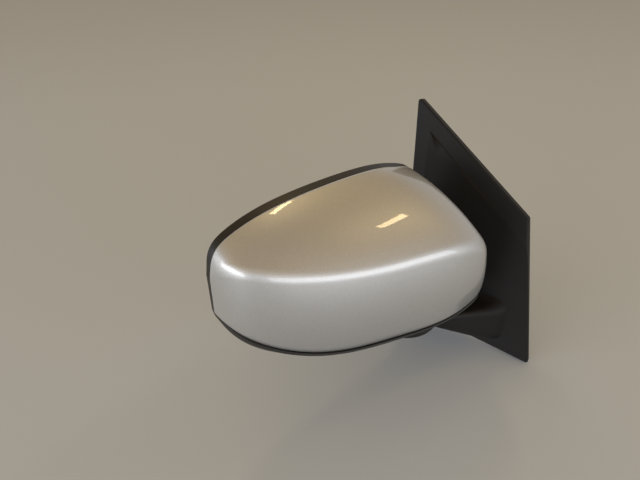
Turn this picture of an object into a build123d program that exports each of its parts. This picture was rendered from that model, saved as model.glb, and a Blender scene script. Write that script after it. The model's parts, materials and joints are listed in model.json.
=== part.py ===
# Right-hand exterior door mirror of a small car, in millimetres.
# Row frame: origin at the centre of the three mounting studs, on the inboard
# face of the base bracket; +X outboard, +Y forward, +Z up.
from build123d import *
import os
from math import atan2, cos, degrees, hypot, radians, sin, tan

# Sail base: a triangular moulding in the front corner of the door window
sail_lean = 17.0            # tumblehome of the door glass, degrees from upright
sail_turn = 5.0             # the sail faces this far forward, degrees
sail_depth = 13.0           # mating face to the outer skin
sail_length = 150.0         # along the belt line
belt_slope = 5.0            # the belt line climbs rearward, degrees
rear_rise = 238.0           # height of the rear edge
rear_rake = 30.0            # its top lies this far behind its foot
front_rise = 155.0          # height of the steep front edge
front_rake = 42.4           # its top lies this far behind its foot
sail_foot = (105.0, -85.0)  # lower front corner, forward and up of the stud centre
sail_corner_r = 2.5
sail_edge_r = 2.0
cover_wall = 2.5
# The outer skin falls away in a shallow cone from this point down to the arm
scoop_tip = (-55.0, 134.0)  # forward and up of the stud centre
scoop_heading = 29.0        # forward of straight down, degrees
scoop_spread = 24.5         # to each side of its heading, degrees
scoop_fall = 1.2            # below the skin, degrees
scoop_reach = 300.0
facet_fall = 7.0            # the strip along the rear edge slopes away, degrees
facet_top = (-71.0, 159.0)  # its ridge runs from here to the scoop's tip
facet_foot = (-44.0, -17.0) # and on to here

# Gasket, bracket and fixings at the mating face
gasket_thick = 3.0
gasket_width = 7.0
plate_thick = 4.0
plate_gap = 0.75            # between the gasket and the bracket plate
bracket_wall = 3.5
stud_pcd = 70.0
stud_count = 3
stud_start = 30.0           # the first stud lies this far up from straight forward, degrees
stud_r = 3.0
stud_reach = 22.0           # inboard of the mating face
stud_flange_r = 6.5
stud_flange_thick = 2.5
stud_shoulder_r = 3.8       # the part that is pressed into the plate
fixing_gap = 0.1            # around fixings in the plate
grommet_place = (33.0, -47.0)           # forward and up of the stud centre
grommet_r = 11.0
grommet_bore_r = 6.5
grommet_reach = 4.0         # inboard of the mating face
grommet_inside = 5.0        # beyond the bracket plate
peg_r = 4.0
peg_reach = 11.0
peg_head_r = 6.5
peg_head_thick = 1.5
upper_peg = (37.0, -68.0)   # forward and up of the sail's apex
lower_peg = (-40.0, 93.0)   # forward and up of its foot

# Pivot of the folding head
pivot_x = 86.6
pivot_y = -13.2
arm_top = -7.0
arm_thick = 15.0
boss_r = 35.0               # at the boss's foot
boss_top_r = 41.0
post_r = 9.0
post_bore_r = 6.0
post_top = 66.0
post_gap = 0.05             # radial running clearance
seat_gap = 0.3              # between the folding head and its seat

# Head: a painted shell round a black bezel, swept back from the car's side
head_corner = (64.8, -59.3, 132.1)      # inboard top corner of the rim
head_sweep = 14.0           # the rim's outboard end trails by this angle
cap_wall = 2.5
bezel_wall = 2.2
skin_gap = 0.4              # between mouldings that lie side by side
# Where the cap ends behind the rim's face, as (z, y): the black rim narrows downward
cap_edge = ((12.0, 9.2), (-55.0, 4.8), (-140.0, 2.4))
rim_thick = 3.0             # of the rim's plate round the glass opening
split_front = 140.0         # the line between cap and lower shell, at this y
split_line = ((-60.0, -118.0), (67.0, -120.0), (196.0, -81.0))
split_mids = ((0.0, -129.5), (142.0, -107.5))
split_slope = radians(5.0)  # it climbs toward the rim
end_round = 7.0             # rounding of the head's inboard end

# Sections of the head across its width, in its own frame: x outboard along the
# rim, y forward from the rim, z up from the rim's inboard top corner. Tip is how
# far the section's foot leans outboard, in degrees
stations = (
    (-41.0, 95.0, -21.5, 42.0, 24.0, -118.0, -99.0, 24.0, -8.0),
    (-35.0, 102.0, -13.5, 43.0, 26.0, -127.0, -110.0, 22.0, -7.0),
    (-20.0, 104.0, -6.5, 44.0, 27.0, -132.0, -119.5, 18.0, -5.0),
    (4.0, 102.0, 0.5, 45.0, 25.0, -133.0, -125.0, 14.0, -2.0),
    (33.0, 97.5, 5.5, 46.0, 23.0, -129.5, -124.5, 12.0, 0.0),
    (67.0, 91.0, 8.5, 47.0, 21.0, -124.0, -122.0, 10.0, 0.0),
    (110.0, 79.5, 9.5, 45.0, 20.0, -117.0, -116.0, 9.0, 0.5),
    (143.0, 65.5, 7.0, 42.0, 18.0, -108.0, -107.5, 8.0, 1.5),
    (168.0, 50.0, 1.0, 40.0, 15.0, -98.0, -98.0, 8.0, 2.5),
    (182.0, 35.0, -6.5, 40.0, 12.0, -89.0, -89.5, 7.0, 3.0),
    (188.5, 19.0, -18.0, 40.0, 7.0, -80.5, -81.0, 6.0, 3.5),
    (191.0, 6.0, -33.0, 40.0, 3.0, -70.0, -70.5, 3.0, 3.5),
)
# Columns: x, depth, top, roll, shoulder_r, low_front, low_rim, low_r, tip
top_start = 3.0             # slope of the top where it leaves the rim, degrees
tip_height = -55.0          # the sections lean about this height

# Glass opening, glass and its drive
opening_x = (-27.0, 181.0)
opening_top = (-16.0, 1.5, -10.0)       # inboard end, crown, outboard end
opening_low = (-108.0, -116.0, -84.0)
opening_crown_x = 75.0
opening_lean = 7.0          # the outboard edge leans in by this much at its top
opening_r = 18.0
opening_outer_r = 26.0      # at the lower outboard corner
bowl_depth = 32.0
glass_gap = 8.5             # holder's edge to the opening
holder_lip = 1.6            # holder's edge beyond the glass
glass_y = 4.0               # rear face of the glass, forward of the rim
glass_curve_r = 1400.0      # convex
glass_thick = 2.0
glass_seat_gap = 0.2
holder_thick = 2.5
joint_x = 75.0              # centre of the glass's universal joint
joint_y = 20.0
joint_z = -57.0
ring_r = 20.0
ring_bore_r = 14.0
ring_thick = 5.0
trunnion_r = 2.0
trunnion_gap = 0.1
ear_thick = 4.0
ear_r = 4.5
ear_gap = 0.4
drum_r = 33.0
drum_stand = 1.0            # the motor pack's rear face stands this far into the bowl
drum_depth = 16.0

# Frame inside the head
sleeve_r = 15.0
sleeve_top = 70.0
frame_thick = 4.0
frame_x = (-14.0, 118.0)
frame_z = (-104.0, -22.0)
frame_corner_r = 12.0
frame_boss_r = 5.0
frame_bosses = ((-4.0, -36.0), (110.0, -36.0), (110.0, -92.0))
collar_r = 27.0             # the lower shell's collar round the sleeve
collar_top = 12.0

# Directions of the sail and the head
lean = radians(sail_lean)
turn = radians(sail_turn)
sail_out = (cos(lean) * cos(turn), cos(lean) * sin(turn), sin(lean))
sail_forward = (-sin(turn), cos(turn), 0.0)
sail_plane = Plane(origin=(0, 0, 0), x_dir=sail_forward, z_dir=sail_out)
sweep = radians(head_sweep)
head_plane = Plane(origin=head_corner, x_dir=(cos(sweep), -sin(sweep), 0), z_dir=(0, 0, 1))


def on_sail(shape):
    """Place a shape drawn forward, up and outward of the stud centre."""
    return shape.moved(sail_plane.location)


def on_head(shape):
    """Place a shape drawn in the head's own frame."""
    return shape.moved(head_plane.location)


def prism(face, low, high):
    """A face drawn on XY, extruded from one height to another."""
    return extrude(face.moved(Location((0, 0, low))), high - low)


def cylinder_z(r, low, high, x=0.0, y=0.0):
    return prism(Face(Wire(CenterArc((x, y), r, 0, 360))), low, high)


def front_prism(face, near, far):
    """A face drawn as (x, z) of the head, extruded along its y."""
    turned = Plane(origin=(0, near, 0), x_dir=(1, 0, 0), z_dir=(0, -1, 0))
    return extrude(face.moved(turned.location), far - near, dir=(0, 1, 0))


def cylinder_y(r, near, far, x, z):
    """A cylinder along the head's y."""
    return front_prism(Face(Wire(CenterArc((x, z), r, 0, 360))), near, far)


def pivot_in_head():
    """The fold axis, as (x, y) of the head."""
    place = head_plane.to_local_coords(Vector(pivot_x, pivot_y, head_corner[2]))
    return place.X, place.Y


# Sail, drawn forward and up of the stud centre
def sail_corners():
    foot = Vector(*sail_foot)
    shoulder = foot + Vector(-front_rake, front_rise)
    heel = foot + Vector(-sail_length, sail_length * sin(radians(belt_slope)))
    return foot, shoulder, heel + Vector(-rear_rake, rear_rise), heel


def sail_outline(inset=0.0):
    outline = make_face(Polyline(*sail_corners(), close=True))
    if inset:
        outline = offset(outline, -inset, kind=Kind.INTERSECTION)
    return fillet(outline.vertices(), sail_corner_r).face()


# Arm sections from the sail out to the pivot: the middle's place, the section's
# lean and turn from upright, its width and height, and its upper and lower corners
arm_sections = (
    (11.4, 25.1, -39.8, 17.0, 5.0, 104.0, 58.0, 24.0, 6.0),
    (36.4, 12.2, -39.8, 17.0, 4.0, 98.0, 40.0, 9.0, 12.0),
    (56.0, 3.0, -29.0, 10.0, 2.0, 92.0, 32.0, 6.0, 12.0),
    (72.0, -4.0, -20.5, 4.0, 0.0, 82.0, 24.0, 5.0, 10.0),
    (pivot_x, pivot_y, arm_top - arm_thick / 2, 0.0, 0.0, 60.0, arm_thick, 4.0, 7.0),
)
# Columns: x, y, z, lean, turn, width, height, top_r, low_r


def arm_form(inset):
    sections = []
    for x, y, z, tilt, twist, width, height, top_r, low_r in arm_sections:
        out = Vector(1, 0, 0).rotate(Axis.Y, -tilt).rotate(Axis.Z, twist)
        place = Plane(origin=(x, y, z), x_dir=Vector(0, 1, 0).rotate(Axis.Z, twist), z_dir=out)
        outline = make_face(Rectangle(width - 2 * inset, height - 2 * inset).wire())
        upper = outline.vertices().group_by(Axis.Y)[-1]
        outline = fillet(upper, max(top_r - inset, 1.0))
        lower = outline.vertices().group_by(Axis.Y)[0]
        outline = fillet(lower, max(low_r - inset, 1.0))
        sections.append(outline.face().moved(place.location))
    arm = loft(sections)
    low = arm_top - arm_thick + inset
    boss = Cone(boss_r - inset, boss_top_r - inset, arm_thick - 2 * inset, align=(Align.CENTER, Align.CENTER, Align.MIN))
    return arm + boss.moved(Location((pivot_x, pivot_y, low)))


def scoop(grow=0.0):
    """The cone that hollows the outer skin, in the sail's frame."""
    spread, fall = radians(scoop_spread), radians(scoop_fall)
    rise = atan2(cos(fall) - cos(spread), sin(fall))
    half_angle = rise + fall
    heading = radians(scoop_heading)
    axis = Vector(cos(rise) * sin(heading), -cos(rise) * cos(heading), sin(rise))
    tip = Vector(*scoop_tip, sail_depth) - axis * (grow / sin(half_angle))
    cone = Cone(0, scoop_reach * tan(half_angle), scoop_reach, align=(Align.CENTER, Align.CENTER, Align.MIN))
    return cone.moved(Plane(origin=tip, z_dir=axis).location)


def facet(grow=0.0):
    """The space over the strip that slopes to the rear edge, in the sail's frame."""
    spaces = []
    for low, high in ((scoop_tip, facet_top), (facet_foot, scoop_tip)):
        ridge = (Vector(*high) - Vector(*low)).normalized()
        side = Vector(-ridge.Y, ridge.X) * cos(radians(facet_fall)) - Vector(0, 0, sin(radians(facet_fall)))
        over = Plane(origin=Vector(*low, sail_depth - grow), x_dir=side, z_dir=side.cross(ridge) * -1)
        block = Box(200, 600, 60, align=(Align.CENTER, Align.CENTER, Align.MIN))
        spaces.append(block.moved(over.location))
    return spaces[0] & spaces[1]


def outer_side(depth):
    """A large block on the outer side of a plane parallel to the mating face."""
    return on_sail(Box(600, 600, 300, align=(Align.CENTER, Align.CENTER, Align.MIN)).moved(Location((0, 0, depth))))


def make_base_cover():
    skin = prism(sail_outline(), gasket_thick, sail_depth)
    skin = fillet(skin.faces().sort_by(Axis.Z)[-1].edges(), sail_edge_r) - scoop() - facet()
    hollow = prism(sail_outline(cover_wall), gasket_thick - 1, sail_depth - cover_wall)
    hollow = hollow - scoop(cover_wall) - facet(cover_wall)
    cover = on_sail(skin) + (arm_form(0.0) & outer_side(gasket_thick + 1))
    cover = cover - on_sail(hollow)
    cavity = arm_form(cover_wall) & outer_side(gasket_thick - 1)
    well = cylinder_z(seat_r(), arm_top - arm_thick + cover_wall, arm_top + 1, pivot_x, pivot_y)
    return cover - cavity - well


def seat_r():
    """Radius of the open well in the cover's boss, just wider than the head's collar."""
    return collar_r + skin_gap


def stud_places():
    return [loc.position for loc in PolarLocations(stud_pcd / 2, stud_count, start_angle=stud_start)]


def peg_places():
    foot, shoulder, apex, heel = sail_corners()
    return apex + Vector(*upper_peg), foot + Vector(*lower_peg)


def make_base_bracket():
    plate = prism(sail_outline(cover_wall / 2 + gasket_width + plate_gap), 0, plate_thick)
    core = arm_form(cover_wall + skin_gap) & outer_side(plate_thick - 1)
    hollow = arm_form(cover_wall + skin_gap + bracket_wall) & outer_side(plate_thick)
    boss_low = arm_top - arm_thick + cover_wall + skin_gap
    seat = cylinder_z(seat_r() - skin_gap, boss_low, arm_top, pivot_x, pivot_y)
    bracket = on_sail(plate) + core - hollow + seat
    for place in stud_places():
        bracket -= on_sail(cylinder_z(stud_flange_r + 1.0, plate_thick, sail_depth, place.X, place.Y))
        bracket -= on_sail(cylinder_z(stud_shoulder_r + fixing_gap, -1, plate_thick + 1, place.X, place.Y))
    for place in peg_places():
        bracket -= on_sail(cylinder_z(peg_r + fixing_gap, -1, plate_thick + 1, place.X, place.Y))
    bracket -= on_sail(cylinder_z(grommet_r, -1, plate_thick + grommet_inside + 1, *grommet_place))
    return bracket - cylinder_z(post_r, boss_low + bracket_wall, arm_top + 1, pivot_x, pivot_y)


def make_base_gasket():
    ring = sail_outline(cover_wall / 2) - sail_outline(cover_wall / 2 + gasket_width)
    return on_sail(prism(ring.face(), 0, gasket_thick))


def make_stud(place):
    shank = cylinder_z(stud_r, -stud_reach, 0, place.X, place.Y)
    shank = chamfer(shank.faces().sort_by(Axis.Z)[0].edges(), 0.8)
    shank += cylinder_z(stud_shoulder_r, 0, plate_thick, place.X, place.Y)
    flange = cylinder_z(stud_flange_r, plate_thick, plate_thick + stud_flange_thick, place.X, place.Y)
    return on_sail(shank + flange)


def make_grommet():
    inner_end = plate_thick + grommet_inside
    body = cylinder_z(grommet_r, -grommet_reach, inner_end, *grommet_place)
    body = fillet(body.faces().sort_by(Axis.Z)[0].edges(), 1.5)
    return on_sail(body - cylinder_z(grommet_bore_r, -grommet_reach - 1, inner_end + 1, *grommet_place))


def make_peg(place):
    peg = cylinder_z(peg_r, -peg_reach, plate_thick, place.X, place.Y)
    peg = chamfer(peg.faces().sort_by(Axis.Z)[0].edges(), 1.5)
    head = cylinder_z(peg_head_r, plate_thick, plate_thick + peg_head_thick, place.X, place.Y)
    return on_sail(peg + head)


def make_pivot_post():
    low = arm_top - arm_thick + cover_wall + skin_gap + bracket_wall
    post = cylinder_z(post_r, low, post_top, pivot_x, pivot_y)
    return post - cylinder_z(post_bore_r, low - 1, post_top + 1, pivot_x, pivot_y)


# Head sections
def section_face(x, depth, top, roll, shoulder_r, low_front, low_rim, low_r, tip):
    """One closed section: top arc, shoulder, upright front, lower edge, underside, rim."""
    start = radians(top_start)
    end = radians(roll)
    arc_r = (depth - shoulder_r * (1 - sin(end))) / (sin(end) - sin(start))

    def on_top(angle):
        return Vector(arc_r * (sin(angle) - sin(start)), top - arc_r * (cos(start) - cos(angle)))

    rim_top = on_top(start)
    shoulder = on_top(end)
    turn_centre = shoulder - Vector(sin(end), cos(end)) * shoulder_r
    half_turn = (end + radians(90)) / 2
    shoulder_mid = turn_centre + Vector(sin(half_turn), cos(half_turn)) * shoulder_r
    front_top = turn_centre + Vector(shoulder_r, 0)
    front_low = Vector(depth, low_front + low_r)
    low_mid = Vector(depth - low_r, low_front + low_r) + Vector(sin(radians(45)), -cos(radians(45))) * low_r
    under_front = Vector(depth - low_r, low_front)
    rim_low = Vector(0, low_rim)
    edges = [
        ThreePointArc(rim_top, on_top((start + end) / 2), shoulder),
        ThreePointArc(shoulder, shoulder_mid, front_top),
        Line(front_top, front_low),
        ThreePointArc(front_low, low_mid, under_front),
        Line(under_front, rim_low),
        Line(rim_low, rim_top),
    ]
    outline = Face(Wire(edges)).moved(Location((0, -tip_height, 0)))
    tip = radians(tip)
    place = Plane(origin=(x, 0, tip_height), x_dir=(0, 1, 0), z_dir=(cos(tip), 0, sin(tip)))
    return outline.moved(place.location)


def head_form(inset, rounded=True):
    """The head's outer form, drawn in by an even wall."""
    faces = []
    last = len(stations) - 1
    for i, (x, depth, top, roll, shoulder_r, low_front, low_rim, low_r, tip) in enumerate(stations):
        before = stations[max(i - 1, 0)]
        after = stations[min(i + 1, last)]
        run = after[0] - before[0]
        fall = before[1] - after[1]
        slant = hypot(run, fall)
        shift = -inset if i == 0 else inset * fall / slant
        faces.append(
            section_face(
                x - shift,
                depth - inset * run / slant,
                top - inset,
                roll,
                max(shoulder_r - inset, 1.0),
                low_front + inset,
                low_rim + inset,
                max(low_r - inset, 1.0),
                tip,
            )
        )
    form = loft(faces)
    if not rounded:
        return form
    end = form.faces().sort_by(Axis.X)[0]
    rim_edge = end.edges().sort_by(Axis.Y)[0]
    edges = [edge for edge in end.edges() if edge.center().Y > rim_edge.center().Y + 1]
    return fillet(edges, end_round - inset)


def opening_face(grow=0.0):
    """Outline of the glass opening, as (x, z) of the head."""
    x_in, x_out = opening_x
    high_in, high_mid, high_out = opening_top
    low_in, low_mid, low_out = opening_low
    top_out = (x_out - opening_lean, high_out)
    outline = make_face(
        [
            ThreePointArc((x_in, high_in), (opening_crown_x, high_mid), top_out),
            Line(top_out, (x_out, low_out)),
            ThreePointArc((x_out, low_out), (opening_crown_x, low_mid), (x_in, low_in)),
            Line((x_in, low_in), (x_in, high_in)),
        ]
    )
    inboard = outline.vertices().sort_by(Axis.X)[:2]
    upper = outline.vertices().sort_by(Axis.X)[2]
    outline = fillet([*inboard, upper], opening_r)
    outboard = outline.vertices().sort_by_distance((x_out, low_out, 0))[0]
    outline = fillet(outboard, opening_outer_r)
    if grow:
        outline = offset(outline, grow)
    return outline.face()


def cap_side(gap=0.0):
    """The space ahead of the curved line where the cap meets the rim."""
    high, middle, low = [(y - gap, z) for z, y in cap_edge]
    profile = [
        ThreePointArc(high, middle, low),
        Line(low, (300.0, low[1])),
        Line((300.0, low[1]), (300.0, high[1])),
        Line((300.0, high[1]), high),
    ]
    place = Plane(origin=(-150, 0, 0), x_dir=(0, 1, 0), z_dir=(1, 0, 0))
    return extrude(make_face(profile).face().moved(place.location), 400, dir=(1, 0, 0))


def above_lower_edge(gap=0.0):
    """The space above the curved line where the cap meets the lower shell."""
    inboard, crown, outboard = split_line
    first, middle = split_mids
    line = [
        ThreePointArc(inboard, first, crown),
        ThreePointArc(crown, middle, outboard),
        Line(outboard, (outboard[0], 60.0)),
        Line((outboard[0], 60.0), (inboard[0], 60.0)),
        Line((inboard[0], 60.0), inboard),
    ]
    front = Plane(origin=(0, split_front, gap), x_dir=(1, 0, 0), z_dir=(0, -1, 0))
    face = make_face(line).face().moved(front.location)
    return extrude(face, split_front + 40, dir=(0, -cos(split_slope), sin(split_slope)))


def make_cap(outer, inner):
    return (outer - inner) & on_head(cap_side()) & on_head(above_lower_edge())


def make_lower_shell(outer, inner):
    shell = (outer - inner) & on_head(cap_side())
    shell -= on_head(above_lower_edge(-skin_gap))
    seat = arm_top + seat_gap
    shell += cylinder_z(collar_r, seat, collar_top, pivot_x, pivot_y)
    return shell - cylinder_z(sleeve_r + skin_gap, seat - 1, collar_top + 1, pivot_x, pivot_y)


def make_bezel(outer):
    rim = outer - on_head(cap_side(skin_gap))
    inner = on_head(head_form(cap_wall + skin_gap, rounded=False))
    deepest = on_head(head_form(cap_wall + skin_gap + bezel_wall, rounded=False))
    bowl = on_head(front_prism(opening_face(bezel_wall), 0, bowl_depth + bezel_wall)) & inner
    cavity = on_head(front_prism(opening_face(), -1, bowl_depth)) & deepest
    mouth = on_head(front_prism(opening_face(), -1, rim_thick))
    bezel = rim + bowl - cavity - mouth
    hole = cylinder_y(drum_r + 1, bowl_depth - 1, bowl_depth + bezel_wall + 1, joint_x, joint_z)
    x, y = pivot_in_head()
    low = arm_top - head_corner[2]
    room = cylinder_z(sleeve_r + skin_gap, low, sleeve_top + skin_gap - head_corner[2], x, y)
    return bezel - on_head(hole) - on_head(room)


def make_head_frame():
    x_low, x_high = frame_x
    z_low, z_high = frame_z
    place = Location(((x_low + x_high) / 2, (z_low + z_high) / 2))
    sheet = (place * RectangleRounded(x_high - x_low, z_high - z_low, frame_corner_r)).face()
    front = drum_front() + drum_depth
    frame = front_prism(sheet, front, front + frame_thick)
    for x, z in frame_bosses:
        frame += cylinder_y(frame_boss_r, bowl_depth + bezel_wall, front, x, z)
    x, y = pivot_in_head()
    low = arm_top + seat_gap - head_corner[2]
    high = sleeve_top - head_corner[2]
    frame += cylinder_z(sleeve_r, low, high, x, y)
    return on_head(frame - cylinder_z(post_r + post_gap, low - 1, high + 1, x, y))


def pin_ear(along, near, far):
    """One ear on each side of the universal joint, with its pin hole."""
    ears = []
    for side in (-1, 1):
        middle = side * (ring_r + ear_gap + ear_thick / 2)
        plate = Box(ear_thick, far - near, 2 * ear_r).moved(Location((middle, (near + far) / 2 - joint_y, 0)))
        tip = Cylinder(ear_r, ear_thick, rotation=(0, 90, 0)).moved(Location((middle, 0, 0)))
        hole = Cylinder(trunnion_r + trunnion_gap, 2 * ear_thick, rotation=(0, 90, 0)).moved(Location((middle, 0, 0)))
        ear = plate + tip - hole
        if along == "z":
            ear = ear.rotate(Axis.Y, 90)
        ears.append(ear.moved(Location((joint_x, joint_y, joint_z))))
    return ears


def drum_front():
    """Where the motor pack's rear face lies, forward of the rim."""
    return bowl_depth - drum_stand


def make_glass_motor():
    motor = cylinder_y(drum_r, drum_front(), drum_front() + drum_depth, joint_x, joint_z)
    for ear in pin_ear("x", joint_y, drum_front()):
        motor += ear
    return on_head(motor)


def make_gimbal_ring():
    half = ring_thick / 2
    ring = cylinder_y(ring_r, joint_y - half, joint_y + half, joint_x, joint_z)
    ring -= cylinder_y(ring_bore_r, joint_y - half - 1, joint_y + half + 1, joint_x, joint_z)
    reach = ring_r + ear_gap + ear_thick
    for side in (-1, 1):
        pin = Cylinder(trunnion_r, reach - ring_bore_r - 1, rotation=(0, 90, 0))
        pin = pin.moved(Location((side * (reach + ring_bore_r + 1) / 2, 0, 0)))
        for turned in (pin, pin.rotate(Axis.Y, 90)):
            ring += turned.moved(Location((joint_x, joint_y, joint_z)))
    return on_head(ring)


def curved_plate(face, depth, thick):
    """The part of a spherical shell behind a face: its middle lies this deep."""
    centre = Location((joint_x, depth + glass_curve_r, joint_z))
    shell = Sphere(glass_curve_r).moved(centre) - Sphere(glass_curve_r - thick).moved(centre)
    return shell & front_prism(face, -20, bowl_depth)


def make_mirror_glass():
    return on_head(curved_plate(opening_face(-glass_gap - holder_lip), glass_y, glass_thick))


def make_glass_holder():
    outline = opening_face(-glass_gap)
    holder = curved_plate(outline, glass_y, glass_thick + holder_thick)
    holder -= curved_plate(opening_face(glass_seat_gap - glass_gap - holder_lip), glass_y - 1, glass_thick + 1)
    for ear in pin_ear("z", glass_y + glass_thick + holder_thick - 0.5, joint_y):
        holder += ear
    return on_head(holder)


def build():
    os.makedirs("parts", exist_ok=True)
    outer = on_head(head_form(0.0))
    inner = on_head(head_form(cap_wall, rounded=False))
    parts = {
        "base_cover": make_base_cover(),
        "base_bracket": make_base_bracket(),
        "base_gasket": make_base_gasket(),
        "harness_grommet": make_grommet(),
        "pivot_post": make_pivot_post(),
        "head_cap": make_cap(outer, inner),
        "lower_shell": make_lower_shell(outer, inner),
        "bezel": make_bezel(outer),
        "head_frame": make_head_frame(),
        "glass_motor": make_glass_motor(),
        "gimbal_ring": make_gimbal_ring(),
        "glass_holder": make_glass_holder(),
        "mirror_glass": make_mirror_glass(),
    }
    for i, place in enumerate(stud_places()):
        parts[f"mount_stud_{i + 1}"] = make_stud(place)
    for i, place in enumerate(peg_places()):
        parts[f"locating_peg_{i + 1}"] = make_peg(place)
    for name, shape in parts.items():
        export_step(shape, f"parts/{name}.step")



build()
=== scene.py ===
import bmesh
import bpy
from math import atan2, cos, hypot, pi, radians, sin, sqrt, tan
from mathutils import Matrix, Vector
import json


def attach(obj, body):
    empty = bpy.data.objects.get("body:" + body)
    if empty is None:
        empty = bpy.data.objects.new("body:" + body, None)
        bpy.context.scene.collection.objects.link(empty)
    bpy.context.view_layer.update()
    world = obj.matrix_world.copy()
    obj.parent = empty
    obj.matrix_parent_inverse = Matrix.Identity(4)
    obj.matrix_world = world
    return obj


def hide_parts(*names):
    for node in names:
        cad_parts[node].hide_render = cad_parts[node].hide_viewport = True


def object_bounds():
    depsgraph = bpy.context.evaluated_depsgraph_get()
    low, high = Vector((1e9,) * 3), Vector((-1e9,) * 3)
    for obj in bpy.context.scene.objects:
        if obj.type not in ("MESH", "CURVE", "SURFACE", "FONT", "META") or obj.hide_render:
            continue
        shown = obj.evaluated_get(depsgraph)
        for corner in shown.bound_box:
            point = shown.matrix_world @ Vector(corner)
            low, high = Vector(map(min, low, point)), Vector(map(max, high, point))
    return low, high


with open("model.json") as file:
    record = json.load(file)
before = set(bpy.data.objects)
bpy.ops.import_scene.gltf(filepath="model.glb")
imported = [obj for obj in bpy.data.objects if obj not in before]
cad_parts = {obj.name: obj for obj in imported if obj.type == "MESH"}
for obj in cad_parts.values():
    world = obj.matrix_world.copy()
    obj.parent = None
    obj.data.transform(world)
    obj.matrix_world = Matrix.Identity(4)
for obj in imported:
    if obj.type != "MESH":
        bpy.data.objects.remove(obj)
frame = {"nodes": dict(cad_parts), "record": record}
cad_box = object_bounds()
MM = 0.001

# ---------------------------------------------------------------- camera
# Where level lines meet that run rearward and leftward, in pixels of the image
IMAGE_WIDTH = 640.0
IMAGE_CENTRE = Vector((320.0, 240.0))
VANISH_REAR = Vector((-386.0, -77.0))
VANISH_LEFT = Vector((800.0, -137.0))
EYE = Vector((0.4048, 0.1472, 0.3398))
SENSOR_WIDTH = 36.0
CLIP_NEAR, CLIP_FAR = 0.01, 50.0


def make_camera():
    a, b = VANISH_REAR - IMAGE_CENTRE, VANISH_LEFT - IMAGE_CENTRE
    focal = sqrt(-a.dot(b))
    rear = Vector((a.x, a.y, focal)).normalized()
    left = Vector((b.x, b.y, focal)).normalized()
    up = (-rear).cross(left).normalized()
    left = up.cross(-rear)
    # The image's right, down and forward directions, in the row's axes
    row_axes = (-left, -rear, up)
    right = Vector([axis.x for axis in row_axes])
    down = Vector([axis.y for axis in row_axes])
    ahead = Vector([axis.z for axis in row_axes])
    data = bpy.data.cameras.new("camera")
    data.sensor_width = SENSOR_WIDTH
    data.lens = SENSOR_WIDTH * focal / IMAGE_WIDTH
    data.clip_start, data.clip_end = CLIP_NEAR, CLIP_FAR
    camera = bpy.data.objects.new("camera", data)
    bpy.context.scene.collection.objects.link(camera)
    basis = Matrix((right, -down, -ahead)).transposed()
    camera.matrix_world = Matrix.Translation(EYE) @ basis.to_4x4()
    bpy.context.scene.camera = camera


make_camera()

# ---------------------------------------------------------------- the head's form
# Sections across the head's width, in its own frame: x outboard, y forward, z up, in mm.
# Columns: x, depth, top, roll, shoulder_r, low_front, low_rim, low_r, tip (roll and tip in degrees)
STATIONS = (
    (-41.0, 95.0, -21.5, 39.0, 22.0, -118.0, -99.0, 24.0, -8.0),
    (-35.0, 102.0, -13.5, 39.0, 22.0, -127.0, -110.0, 22.0, -7.0),
    (-20.0, 104.0, -6.5, 39.0, 22.0, -132.0, -119.5, 18.0, -5.0),
    (4.0, 102.0, 0.5, 41.0, 21.0, -133.0, -125.0, 14.0, -2.0),
    (33.0, 97.5, 5.5, 43.5, 20.0, -129.5, -124.5, 12.0, 0.0),
    (67.0, 91.0, 8.5, 45.5, 19.0, -124.0, -122.0, 10.0, 0.0),
    (110.0, 79.5, 9.5, 45.0, 18.0, -117.0, -116.0, 9.0, 0.5),
    (143.0, 65.5, 7.0, 41.0, 18.5, -108.0, -107.5, 8.0, 1.5),
    (168.0, 50.0, 1.0, 29.0, 17.0, -98.0, -98.0, 8.0, 2.5),
    (182.0, 35.0, -6.5, 17.0, 13.0, -89.0, -89.5, 7.0, 3.0),
    (188.5, 19.0, -18.0, 12.0, 8.0, -80.5, -81.0, 6.0, 3.5),
    (191.0, 6.0, -33.0, 10.0, 3.0, -70.0, -70.5, 3.0, 3.5),
)
TOP_START = radians(3.0)    # slope of a section's top at the rim
TIP_HEIGHT = -55.0          # the sections lean about this height
END_ROUND = 7.0             # radius round the flat inboard end
FRONT_RADIUS = 130.0        # the front wall's swell, from the shoulder to the foot
LEAST_R = 1.0               # no section's corner is sharper than this
# Points of a section along its top, shoulder, front wall, low corner and underside
TOP_POINTS, SHOULDER_POINTS, WALL_POINTS, CORNER_POINTS, FOOT_POINTS = 48, 40, 36, 20, 31
END_ROWS, HEAD_ROWS = 10, 110   # sections of the rounded end, and from there to the tip
CROWDING = 1.4                  # above 1, the sections crowd towards the tip
HALVINGS = 40                   # steps of the search for a station by its x

# The cap ends behind the rim's face on a circle through these points, as (z, y)
CAP_EDGE = ((12.0, 9.2), (-55.0, 4.8), (-140.0, 2.4))
# The line between the cap and the lower shell, as (x, z) at y = SPLIT_FRONT
SPLIT_LINE = ((-60.0, -118.0), (0.0, -129.5), (67.0, -120.0), (142.0, -107.5), (196.0, -81.0))
SPLIT_FRONT = 140.0
SPLIT_SLOPE = radians(5.0)
CAP_WALL = 2.5
# Points across the cap's front, its underside, and up the edge of its inboard end
CAP_ACROSS, CAP_UNDER, CAP_BACK = 110, 24, 24
WELD = 0.00001              # vertices closer than this are one, in metres

# The lower shell's lip under the cap's edge: how far it reaches back into the shell, and how
# far each of its points stands out, from the edge on
LIP_REACH = 7.0
LIP_OUT = [2.4 * share for share in (1.0, 1.0, 0.95, 0.8, 0.55, 0.25, -0.1)]
LIP_BACK = (0.3, 0.6)       # its hidden side lies this far forward and up

HEAD_CORNER = Vector((64.8, -59.3, 132.1))
SWEEP = radians(14.0)
HEAD_X = Vector((cos(SWEEP), -sin(SWEEP), 0.0))
HEAD_Y = Vector((sin(SWEEP), cos(SWEEP), 0.0))


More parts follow.
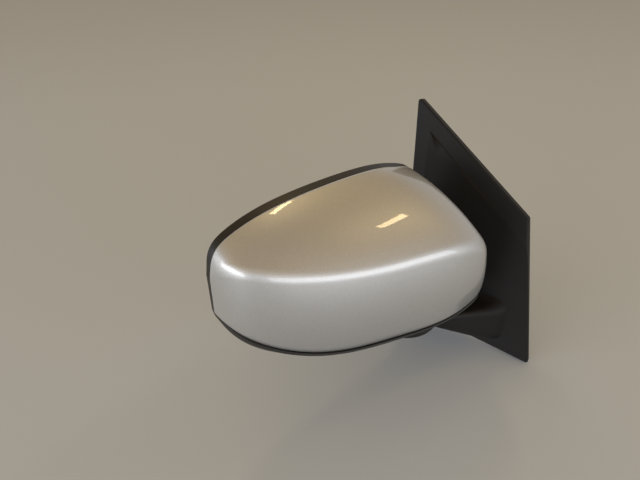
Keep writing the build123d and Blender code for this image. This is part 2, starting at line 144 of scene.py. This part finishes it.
def from_head(x, y, z):
    """A point of the head's frame, in mm, as a point of the row, in metres."""
    return (HEAD_CORNER + HEAD_X * x + HEAD_Y * y + Vector((0.0, 0.0, z))) * MM


def circle_through(a, b, c):
    """Centre and radius of the circle through three points of a plane."""
    d = 2 * (a[0] * (b[1] - c[1]) + b[0] * (c[1] - a[1]) + c[0] * (a[1] - b[1]))
    sa, sb, sc = (p[0] ** 2 + p[1] ** 2 for p in (a, b, c))
    x = (sa * (b[1] - c[1]) + sb * (c[1] - a[1]) + sc * (a[1] - b[1])) / d
    y = (sa * (c[0] - b[0]) + sb * (a[0] - c[0]) + sc * (b[0] - a[0])) / d
    return x, y, hypot(a[0] - x, a[1] - y)


EDGE_Z, EDGE_Y, EDGE_R = circle_through(*CAP_EDGE)
EDGE_SIDE = 1.0 if CAP_EDGE[1][1] > EDGE_Y else -1.0


def cap_edge_y(z):
    """Where the cap ends behind the rim's face, at this height."""
    return EDGE_Y + EDGE_SIDE * sqrt(EDGE_R * EDGE_R - (z - EDGE_Z) ** 2)


def natural_spline(ts, values):
    """Second derivatives of the natural cubic spline through values at ts."""
    n = len(ts)
    diag, rhs, upper = [1.0] * n, [0.0] * n, [0.0] * n
    for i in range(1, n - 1):
        h0, h1 = ts[i] - ts[i - 1], ts[i + 1] - ts[i]
        slope = (values[i + 1] - values[i]) / h1 - (values[i] - values[i - 1]) / h0
        diag[i] = 2 * (h0 + h1) - h0 * upper[i - 1]
        upper[i] = h1 / diag[i]
        rhs[i] = (6 * slope - h0 * rhs[i - 1]) / diag[i]
    second = [0.0] * n
    for i in range(n - 2, 0, -1):
        second[i] = rhs[i] - upper[i] * second[i + 1]
    return second


def spline_at(ts, values, second, t):
    """The spline's value at t, from its knots and their second derivatives."""
    i = max(j for j in range(len(ts) - 1) if t >= ts[j] or j == 0)
    h = ts[i + 1] - ts[i]
    a, b = (ts[i + 1] - t) / h, (t - ts[i]) / h
    bend = ((a ** 3 - a) * second[i] + (b ** 3 - b) * second[i + 1]) * h * h / 6
    return a * values[i] + b * values[i + 1] + bend


SPLIT_X, SPLIT_Z = zip(*SPLIT_LINE)
SPLIT_SECOND = natural_spline(SPLIT_X, SPLIT_Z)


def split_z(x, y):
    """Height of the line between the cap and the lower shell."""
    at_front = spline_at(SPLIT_X, SPLIT_Z, SPLIT_SECOND, x)
    return at_front + (SPLIT_FRONT - y) * tan(SPLIT_SLOPE)


def run_along_stations():
    """A running length over the stations, by which their columns are splined."""
    run = [0.0]
    for p, q in zip(STATIONS, STATIONS[1:]):
        (x0, depth0, top0), (x1, depth1, top1) = p[:3], q[:3]
        low0, low1 = p[5], q[5]
        run.append(run[-1] + hypot(x1 - x0, depth1 - depth0, (top1 - top0) / 2, (low1 - low0) / 2))
    return run


STATION_T = run_along_stations()
COLUMNS = list(zip(*STATIONS))
SECONDS = [natural_spline(STATION_T, column) for column in COLUMNS]


def station_at(t):
    """A station's columns, anywhere along the head."""
    return [spline_at(STATION_T, column, second, t) for column, second in zip(COLUMNS, SECONDS)]


def t_at(x):
    """The running length at which the stations reach this x."""
    low, high = STATION_T[0], STATION_T[-1]
    for _ in range(HALVINGS):
        middle = (low + high) / 2
        low, high = (middle, high) if station_at(middle)[0] < x else (low, middle)
    return (low + high) / 2


def profile(station, inset=0.0):
    """One section from the rim's top, over the shoulder and down the front, to the rim's foot."""
    x, depth, top, roll, shoulder_r, low_front, low_rim, low_r, tip = station
    depth, top = depth - inset, top - inset
    low_front, low_rim = low_front + inset, low_rim + inset
    shoulder_r, low_r = max(shoulder_r - inset, LEAST_R), max(low_r - inset, LEAST_R)
    roll, tip = radians(roll), radians(tip)
    arc_r = (depth - shoulder_r * (1 - sin(roll))) / (sin(roll) - sin(TOP_START))
    points = []

    def arc(cy, cz, r, a, b, count):
        for i in range(count):
            angle = a + (b - a) * i / count
            points.append((cy + r * sin(angle), cz + r * cos(angle)))

    centre_y, centre_z = -arc_r * sin(TOP_START), top - arc_r * cos(TOP_START)
    arc(centre_y, centre_z, arc_r, TOP_START, roll, TOP_POINTS)
    turn_y = centre_y + (arc_r - shoulder_r) * sin(roll)
    turn_z = centre_z + (arc_r - shoulder_r) * cos(roll)
    low_z = low_front + low_r
    bulge = (turn_z - low_z) ** 2 / (8 * FRONT_RADIUS)
    swell = atan2(4 * bulge, turn_z - low_z)
    arc(turn_y, turn_z, shoulder_r, roll, pi / 2 - swell, SHOULDER_POINTS)
    front_y, front_z = depth - shoulder_r * (1 - cos(swell)), turn_z + shoulder_r * sin(swell)
    foot_y, foot_z = depth - low_r * (1 - cos(swell)), low_z - low_r * sin(swell)
    for i in range(WALL_POINTS):
        f = i / WALL_POINTS
        out = bulge * 4 * f * (1 - f)
        points.append((front_y + (foot_y - front_y) * f + out, front_z + (foot_z - front_z) * f))
    arc(depth - low_r, low_z, low_r, pi / 2 + swell, pi, CORNER_POINTS)
    for i in range(FOOT_POINTS):
        f = i / (FOOT_POINTS - 1)
        points.append(((depth - low_r) * (1 - f), low_front + (low_rim - low_front) * f))
    placed = []
    for y, z in points:
        up = z - TIP_HEIGHT
        placed.append((x - sin(tip) * up, y, TIP_HEIGHT + cos(tip) * up))
    return placed


def head_sections():
    """Profiles from the rounded inboard end to the outboard tip."""
    start = STATIONS[0][0]
    sections = []
    for i in range(END_ROWS):
        angle = pi / 2 * (1 - i / END_ROWS)
        place = start + END_ROUND * (1 - sin(angle))
        sections.append(profile(station_at(t_at(place)), END_ROUND * (1 - cos(angle))))
    first = t_at(start + END_ROUND)
    for i in range(HEAD_ROWS + 1):
        f = 1 - (1 - i / HEAD_ROWS) ** CROWDING
        sections.append(profile(station_at(first + (STATION_T[-1] - first) * f)))
    return sections


SECTIONS = head_sections()


def cut_between(line, keep):
    """The part of a polyline where keep is positive, with its ends on keep = 0."""
    values = [keep(p) for p in line]
    first = next((i for i, v in enumerate(values) if v > 0), None)
    if first is None:
        return None
    last = first
    while last + 1 < len(values) and values[last + 1] > 0:
        last += 1

    def cross(i, j):
        f = values[i] / (values[i] - values[j])
        return tuple(a + (b - a) * f for a, b in zip(line[i], line[j]))

    part = line[first:last + 1]
    if first > 0:
        part = [cross(first - 1, first)] + part
    if last + 1 < len(line):
        part = part + [cross(last, last + 1)]
    return part


def resample(line, count):
    """The polyline as this many points, evenly spaced along it."""
    run = [0.0]
    for p, q in zip(line, line[1:]):
        run.append(run[-1] + hypot(*(a - b for a, b in zip(p, q))))
    points, j = [], 0
    for i in range(count):
        s = run[-1] * i / (count - 1)
        while j < len(run) - 2 and run[j + 1] < s:
            j += 1
        f = (s - run[j]) / max(run[j + 1] - run[j], 1e-9)
        points.append(tuple(a + (b - a) * f for a, b in zip(line[j], line[j + 1])))
    return points


def mesh_object(name, vertices, faces, smooth=True):
    mesh = bpy.data.meshes.new(name)
    mesh.from_pydata(vertices, [], faces)
    mesh.validate()
    mesh.update()
    for polygon in mesh.polygons:
        polygon.use_smooth = smooth
    piece = bpy.data.objects.new(name, mesh)
    bpy.context.scene.collection.objects.link(piece)
    return piece


def weld(piece):
    """Join vertices that lie on one spot."""
    grid = bmesh.new()
    grid.from_mesh(piece.data)
    bmesh.ops.remove_doubles(grid, verts=grid.verts, dist=WELD)
    grid.to_mesh(piece.data)
    grid.free()


def strip_faces(start, rows, across):
    """Faces between rows of points, as indices counted from start."""
    faces = []
    for i in range(rows - 1):
        for j in range(across - 1):
            a = start + i * across + j
            faces.append((a, a + across, a + across + 1, a + 1))
    return faces


def cap_keep(point):
    """Positive where the head's skin belongs to the cap."""
    x, y, z = point
    return min(y - cap_edge_y(z), z - split_z(x, y))


def lip_keep(point):
    """Positive where it belongs to the lower shell."""
    x, y, z = point
    return min(y - cap_edge_y(z), split_z(x, y) - z)


def end_x(z):
    """Where the flat inboard end, which leans, stands at this height."""
    x, tip = STATIONS[0][0], STATIONS[0][-1]
    return x - tan(radians(tip)) * (z - TIP_HEIGHT)


def make_cap():
    """The painted shell, with a crisp shoulder and a swelling front wall."""
    rows, foot_rows = [], []
    for section in SECTIONS:
        # The front down to the lowest point, then the underside from there to the rim
        rows.append(resample(cut_between(section[:-FOOT_POINTS + 1], cap_keep), CAP_ACROSS))
        foot = cut_between(section[:-FOOT_POINTS - 1:-1], cap_keep)
        if foot and len(foot_rows) == len(rows) - 1:
            foot_rows.append(resample(foot[::-1], CAP_UNDER))
    places = [p for row in rows + foot_rows for p in row]
    foot_start = len(rows) * CAP_ACROSS
    faces = strip_faces(0, len(rows), CAP_ACROSS)
    faces += strip_faces(foot_start, len(foot_rows), CAP_UNDER)
    # The flat inboard end, closed along the cap's own edge behind the rim
    low_z, high_z = foot_rows[0][-1][2], rows[0][0][2]
    back_start = len(places)
    for i in range(1, CAP_BACK):
        z = low_z + (high_z - low_z) * i / CAP_BACK
        places.append((end_x(z), cap_edge_y(z), z))
    front = list(range(CAP_ACROSS))
    under = list(range(foot_start + 1, foot_start + CAP_UNDER))
    faces.append(front + under + list(range(back_start, len(places))))
    last = (len(rows) - 1) * CAP_ACROSS
    faces.append(list(range(last, last + CAP_ACROSS))[::-1])
    cap = mesh_object("cap_shell", [from_head(*p) for p in places], faces)
    weld(cap)
    solid = cap.modifiers.new("wall", "SOLIDIFY")
    solid.thickness = CAP_WALL * MM
    solid.offset = -1.0
    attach(cap, "head")
    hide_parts("head_cap")
    return cap


def make_lip():
    """The raised edge of the lower shell that shows as a dark line under the cap."""
    rings = []
    for section in SECTIONS:
        part = cut_between(section, lip_keep)
        if not part:
            continue
        run = [p for p in part if hypot(*(a - b for a, b in zip(p, part[0]))) <= LIP_REACH]
        if len(run) < 3:
            continue
        line = resample(run, len(LIP_OUT))
        ring = [line[0]]
        for i, (p, out) in enumerate(zip(line, LIP_OUT)):
            q, r = line[max(i - 1, 0)], line[min(i + 1, len(line) - 1)]
            run_y, run_z = r[1] - q[1], r[2] - q[2]
            length = hypot(run_y, run_z)
            ring.append((p[0], p[1] - run_z / length * out, p[2] + run_y / length * out))
        ring += [(p[0], p[1] + LIP_BACK[0], p[2] + LIP_BACK[1]) for p in line[::-1][1:-1]]
        rings.append(ring)
    count = len(rings[0])
    faces = []
    for i in range(len(rings) - 1):
        for j in range(count):
            a, b = i * count + j, i * count + (j + 1) % count
            faces.append((a, a + count, b + count, b))
    faces.append(list(range(count)))
    last = (len(rings) - 1) * count
    faces.append(list(range(last, last + count))[::-1])
    vertices = [from_head(*p) for ring in rings for p in ring]
    lip = mesh_object("lower_shell_lip", vertices, faces)
    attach(lip, "head")
    return lip


# ---------------------------------------------------------------- studs and edges
LEAN, TURN = radians(17.0), radians(5.0)
SAIL_OUT = Vector((cos(LEAN) * cos(TURN), cos(LEAN) * sin(TURN), sin(LEAN)))
SAIL_FORWARD = Vector((-sin(TURN), cos(TURN), 0.0))
SAIL_UP = SAIL_OUT.cross(SAIL_FORWARD)
STUD_COUNT, STUD_PCD, STUD_START = 3, 70.0, radians(30.0)
STUD_SIDES = 32
STUD_R = 3.0
# A stud from its inboard end, as (height outward of the mating face, radius): the point, the
# thread between, then the shank, the shoulder in the plate and the flange on it
STUD_TIP = ((-22.0, 2.2), (-21.2, STUD_R))
THREAD_START, THREAD_PITCH, THREAD_DEPTH = -21.0, 1.0, 0.55
THREAD_TURNS, TURN_STEPS = 16, 8
STUD_ROOT = (
    (-4.6, 2.45), (-4.2, STUD_R), (0.0, STUD_R), (0.0, 3.8), (4.0, 3.8), (4.0, 6.5), (6.5, 6.5),
)
# Moulded and cast pieces with broken edges, and the width of the edge in mm
SOFT_EDGES = {
    "bezel": 0.8,
    "base_bracket": 0.4,
    "glass_holder": 0.3,
    "mirror_glass": 0.3,
    "locating_peg_1": 0.4,
    "locating_peg_2": 0.4,
}
EDGE_SEGMENTS = 2
EDGE_ANGLE = radians(35.0)


def from_sail(u, v, n):
    """A point forward, up and outward of the stud centre, in mm, in the row's metres."""
    return (SAIL_FORWARD * u + SAIL_UP * v + SAIL_OUT * n) * MM


def thread_cut(turns, around):
    """How deep the thread is cut, so many turns up and at this share of the way round."""
    phase = (turns - around) % 1.0
    fade = min(turns, THREAD_TURNS - turns, 1.0)
    return THREAD_DEPTH * fade * (1 - abs(2 * phase - 1))


def make_stud(index):
    """A stud with its helical thread, on the place of the plain one."""
    angle = STUD_START + 2 * pi * index / STUD_COUNT
    u, v = STUD_PCD / 2 * cos(angle), STUD_PCD / 2 * sin(angle)
    # Rings as (height, radius, turns of thread up to here, or None where there is no thread)
    heights = [(h, r, None) for h, r in STUD_TIP]
    for i in range(THREAD_TURNS * TURN_STEPS + 1):
        turns = i / TURN_STEPS
        heights.append((THREAD_START + THREAD_PITCH * turns, STUD_R, turns))
    heights += [(h, r, None) for h, r in STUD_ROOT]
    vertices = []
    for h, r, turns in heights:
        for j in range(STUD_SIDES):
            a = 2 * pi * j / STUD_SIDES
            cut = 0.0 if turns is None else thread_cut(turns, j / STUD_SIDES)
            vertices.append(from_sail(u + (r - cut) * cos(a), v + (r - cut) * sin(a), h))
    faces = [list(range(STUD_SIDES))[::-1]]
    for i in range(len(heights) - 1):
        for j in range(STUD_SIDES):
            a, b = i * STUD_SIDES + j, i * STUD_SIDES + (j + 1) % STUD_SIDES
            faces.append((a, b, b + STUD_SIDES, a + STUD_SIDES))
    faces.append(list(range(len(vertices) - STUD_SIDES, len(vertices))))
    stud = mesh_object(f"threaded_stud_{index + 1}", vertices, faces, smooth=False)
    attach(stud, "base")
    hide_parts(f"mount_stud_{index + 1}")
    return stud


def soften(node, width):
    """Break a piece's sharp edges, as its mould does."""
    bevel = frame["nodes"][node].modifiers.new("edges", "BEVEL")
    bevel.width = width * MM
    bevel.segments = EDGE_SEGMENTS
    bevel.limit_method = "ANGLE"
    bevel.angle_limit = EDGE_ANGLE
    bevel.harden_normals = True


# ---------------------------------------------------------------- materials
CLOUD_SCALE = 14.0          # slow changes of colour over a plastic piece
PLASTIC_SPREAD = 0.25       # how far a plastic's colour varies
METAL_DARKEST = 0.85        # a metal's darkest patches, as a share of its colour
PATCHES = (0.3, 0.7)        # the part of a noise's range over which a colour changes
PLASTIC_ROUGH, METAL_ROUGH = 0.06, 0.08     # roughness varies by this much each way
FLAKE_SCALE = 3200.0
FLAKE_COLOURS = ((0.42, 0.425, 0.43), (0.56, 0.565, 0.57))
FLAKE_ROUGH = (0.40, 0.54)
MIRROR_COLOUR = (0.88, 0.90, 0.91, 1.0)
MIRROR_HAZE, MIRROR_HAZE_SCALE = (0.01, 0.03), 9.0


def new_material(name):
    material = bpy.data.materials.new(name)
    material.use_nodes = True
    return material, material.node_tree, material.node_tree.nodes["Principled BSDF"]


def noise(tree, scale, detail=2.0):
    """The value of a noise in the piece's own coordinates."""
    node = tree.nodes.new("ShaderNodeTexNoise")
    node.inputs["Scale"].default_value = scale
    node.inputs["Detail"].default_value = detail
    where = tree.nodes.new("ShaderNodeTexCoord").outputs["Object"]
    tree.links.new(where, node.inputs["Vector"])
    return node.outputs["Fac"]


def colour_by(tree, shader, source, ends, colours):
    """The shader's colour goes from the first colour to the second with the source."""
    node = tree.nodes.new("ShaderNodeValToRGB")
    for element, position, colour in zip(node.color_ramp.elements, ends, colours):
        element.position = position
        element.color = (*colour, 1.0)
    tree.links.new(source, node.inputs["Fac"])
    tree.links.new(node.outputs["Color"], shader.inputs["Base Color"])


def roughness_by(tree, shader, source, low, high):
    """The shader's roughness goes from low to high with the source."""
    node = tree.nodes.new("ShaderNodeMapRange")
    node.inputs["To Min"].default_value = low
    node.inputs["To Max"].default_value = high
    tree.links.new(source, node.inputs["Value"])
    tree.links.new(node.outputs["Result"], shader.inputs["Roughness"])


def make_paint():
    """Metallic paint: small flakes of differing tint under a clear coat."""
    material, tree, shader = new_material("silver_paint")
    shader.inputs["Metallic"].default_value = 0.85
    shader.inputs["Coat Weight"].default_value = 1.0
    shader.inputs["Coat Roughness"].default_value = 0.04
    flakes = tree.nodes.new("ShaderNodeTexVoronoi")
    flakes.inputs["Scale"].default_value = FLAKE_SCALE
    where = tree.nodes.new("ShaderNodeTexCoord").outputs["Object"]
    tree.links.new(where, flakes.inputs["Vector"])
    colour_by(tree, shader, flakes.outputs["Color"], (0.0, 1.0), FLAKE_COLOURS)
    roughness_by(tree, shader, flakes.outputs["Distance"], *FLAKE_ROUGH)
    return material


def make_plastic(name, colour, roughness, grain_scale, grain_depth, gloss=0.5):
    """Moulded plastic or rubber with a fine grain; grain_depth is in metres."""
    material, tree, shader = new_material(name)
    shader.inputs["Specular IOR Level"].default_value = gloss
    tints = [[c * (1 + side * PLASTIC_SPREAD / 2) for c in colour] for side in (-1, 1)]
    colour_by(tree, shader, noise(tree, CLOUD_SCALE), PATCHES, tints)
    grain = noise(tree, grain_scale, detail=3.0)
    roughness_by(tree, shader, grain, roughness - PLASTIC_ROUGH, roughness + PLASTIC_ROUGH)
    bump = tree.nodes.new("ShaderNodeBump")
    bump.inputs["Strength"].default_value = 1.0
    bump.inputs["Distance"].default_value = grain_depth
    tree.links.new(grain, bump.inputs["Height"])
    tree.links.new(bump.outputs["Normal"], shader.inputs["Normal"])
    return material


def make_metal(name, colour, roughness, scale):
    """Bare metal with patches of differing brightness and roughness."""
    material, tree, shader = new_material(name)
    shader.inputs["Metallic"].default_value = 1.0
    cloud = noise(tree, scale)
    tints = ([c * METAL_DARKEST for c in colour], colour)
    colour_by(tree, shader, cloud, PATCHES, tints)
    roughness_by(tree, shader, cloud, roughness - METAL_ROUGH, roughness + METAL_ROUGH)
    return material


def make_mirror():
    material, tree, shader = new_material("silvered_glass")
    shader.inputs["Metallic"].default_value = 1.0
    shader.inputs["Base Color"].default_value = MIRROR_COLOUR
    roughness_by(tree, shader, noise(tree, MIRROR_HAZE_SCALE), *MIRROR_HAZE)
    return material


# Plastics by name, colour, roughness, grain scale, grain depth and gloss; metals by name,
# colour, roughness and scale of their patches
FINISHES = {
    "paint": make_paint(),
    "satin_plastic": make_plastic(
        "satin_black", (0.008, 0.0075, 0.0075), 0.42, 1800.0, 0.00001, 0.4),
    "grained_plastic": make_plastic(
        "grained_black", (0.006, 0.0055, 0.006), 0.60, 1500.0, 0.00005, 0.25),
    "inner_plastic": make_plastic(
        "inner_black", (0.035, 0.035, 0.036), 0.5, 900.0, 0.00002),
    "cast_metal": make_metal("cast_aluminium", (0.50, 0.50, 0.51), 0.5, 300.0),
    "steel": make_metal("zinc_plate", (0.62, 0.60, 0.56), 0.32, 120.0),
    "seal": make_plastic("foam_seal", (0.022, 0.022, 0.022), 0.85, 2500.0, 0.0002),
    "mirror": make_mirror(),
}


def finish_with(piece, slot):
    piece.data.materials.clear()
    piece.data.materials.append(FINISHES[slot])


for part in frame["record"]["subparts"]:
    finish_with(frame["nodes"][part["node"]], part["material_slot"])

finish_with(make_cap(), "paint")
finish_with(make_lip(), "satin_plastic")
for number in range(STUD_COUNT):
    finish_with(make_stud(number), "steel")
for node, width in SOFT_EDGES.items():
    soften(node, width)

# ---------------------------------------------------------------- floor, lamps and world
FLOOR_REACH = 6.0
FLOOR_DROP = 0.001          # the floor lies this far under the lowest solid
FLOOR_COLOUR = (0.48, 0.53, 0.60, 1.0)
FLOOR_ROUGHNESS = 0.65
AIM = Vector((0.15, -0.02, 0.08))
WARM, COOL = (1.0, 0.76, 0.40), (0.95, 0.97, 1.0)
LEVEL = None
# Columns: name, place, length and width in metres, watts, colour, the way the length runs
LAMPS = (
    ("front", (0.70, 2.40, 0.46), (4.0, 1.0), 36.0, COOL, LEVEL),
    ("side", (2.9, -1.00, 0.46), (3.2, 1.0), 46.0, COOL, LEVEL),
    ("tube_1", (-0.80, 0.57, 1.30), (0.33, 0.075), 1.1, WARM, (-0.76, -0.47, -0.46)),
    ("tube_2", (-0.52, -0.73, 1.42), (0.36, 0.09), 1.7, WARM, (-0.76, -0.10, -0.65)),
)
# The sky from straight down to straight up: pale ground, bright horizon, a warm, darker top
SKY = (
    (0.00, (0.20, 0.19, 0.19)),
    (0.40, (0.34, 0.33, 0.33)),
    (0.50, (0.82, 0.82, 0.83)),
    (0.60, (1.10, 1.10, 1.12)),
    (0.74, (0.68, 0.52, 0.32)),
    (0.86, (0.96, 0.67, 0.31)),
    (1.00, (0.67, 0.51, 0.34)),
)
SKY_STRENGTH = 0.62


def make_floor():
    material, tree, shader = new_material("pale_floor")
    shader.inputs["Base Color"].default_value = FLOOR_COLOUR
    shader.inputs["Roughness"].default_value = FLOOR_ROUGHNESS
    z = cad_box[0][2] - FLOOR_DROP
    r = FLOOR_REACH
    corners = [(-r, -r, z), (r, -r, z), (r, r, z), (-r, r, z)]
    floor = mesh_object("floor", corners, [(0, 1, 2, 3)])
    floor.data.materials.append(material)


def make_lamp(name, place, size, power, colour, along):
    """A rectangle of light turned towards the head, its length level or along a direction."""
    data = bpy.data.lights.new(name, "AREA")
    data.shape = "RECTANGLE"
    data.size, data.size_y = size
    data.energy = power
    data.color = colour
    lamp = bpy.data.objects.new(name, data)
    back = (Vector(place) - AIM).normalized()
    length = Vector((0.0, 0.0, 1.0)).cross(back) if along is LEVEL else Vector(along)
    length = (length - back * length.dot(back)).normalized()
    basis = Matrix((length, back.cross(length), back)).transposed()
    lamp.matrix_world = Matrix.Translation(place) @ basis.to_4x4()
    lamp.visible_camera = False
    bpy.context.scene.collection.objects.link(lamp)


def make_world():
    world = bpy.data.worlds.new("studio")
    world.use_nodes = True
    nodes, links = world.node_tree.nodes, world.node_tree.links
    split = nodes.new("ShaderNodeSeparateXYZ")
    links.new(nodes.new("ShaderNodeTexCoord").outputs["Generated"], split.inputs["Vector"])
    height = nodes.new("ShaderNodeMapRange")
    height.inputs["From Min"].default_value = -1.0
    links.new(split.outputs["Z"], height.inputs["Value"])
    sky = nodes.new("ShaderNodeValToRGB")
    while len(sky.color_ramp.elements) < len(SKY):
        sky.color_ramp.elements.new(0.5)
    for element, (place, colour) in zip(sky.color_ramp.elements, SKY):
        element.position = place
        element.color = (*colour, 1.0)
    links.new(height.outputs["Result"], sky.inputs["Fac"])
    links.new(sky.outputs["Color"], nodes["Background"].inputs["Color"])
    nodes["Background"].inputs["Strength"].default_value = SKY_STRENGTH
    bpy.context.scene.world = world


make_floor()
for lamp in LAMPS:
    make_lamp(*lamp)
make_world()
bpy.context.scene.view_settings.view_transform = "Standard"
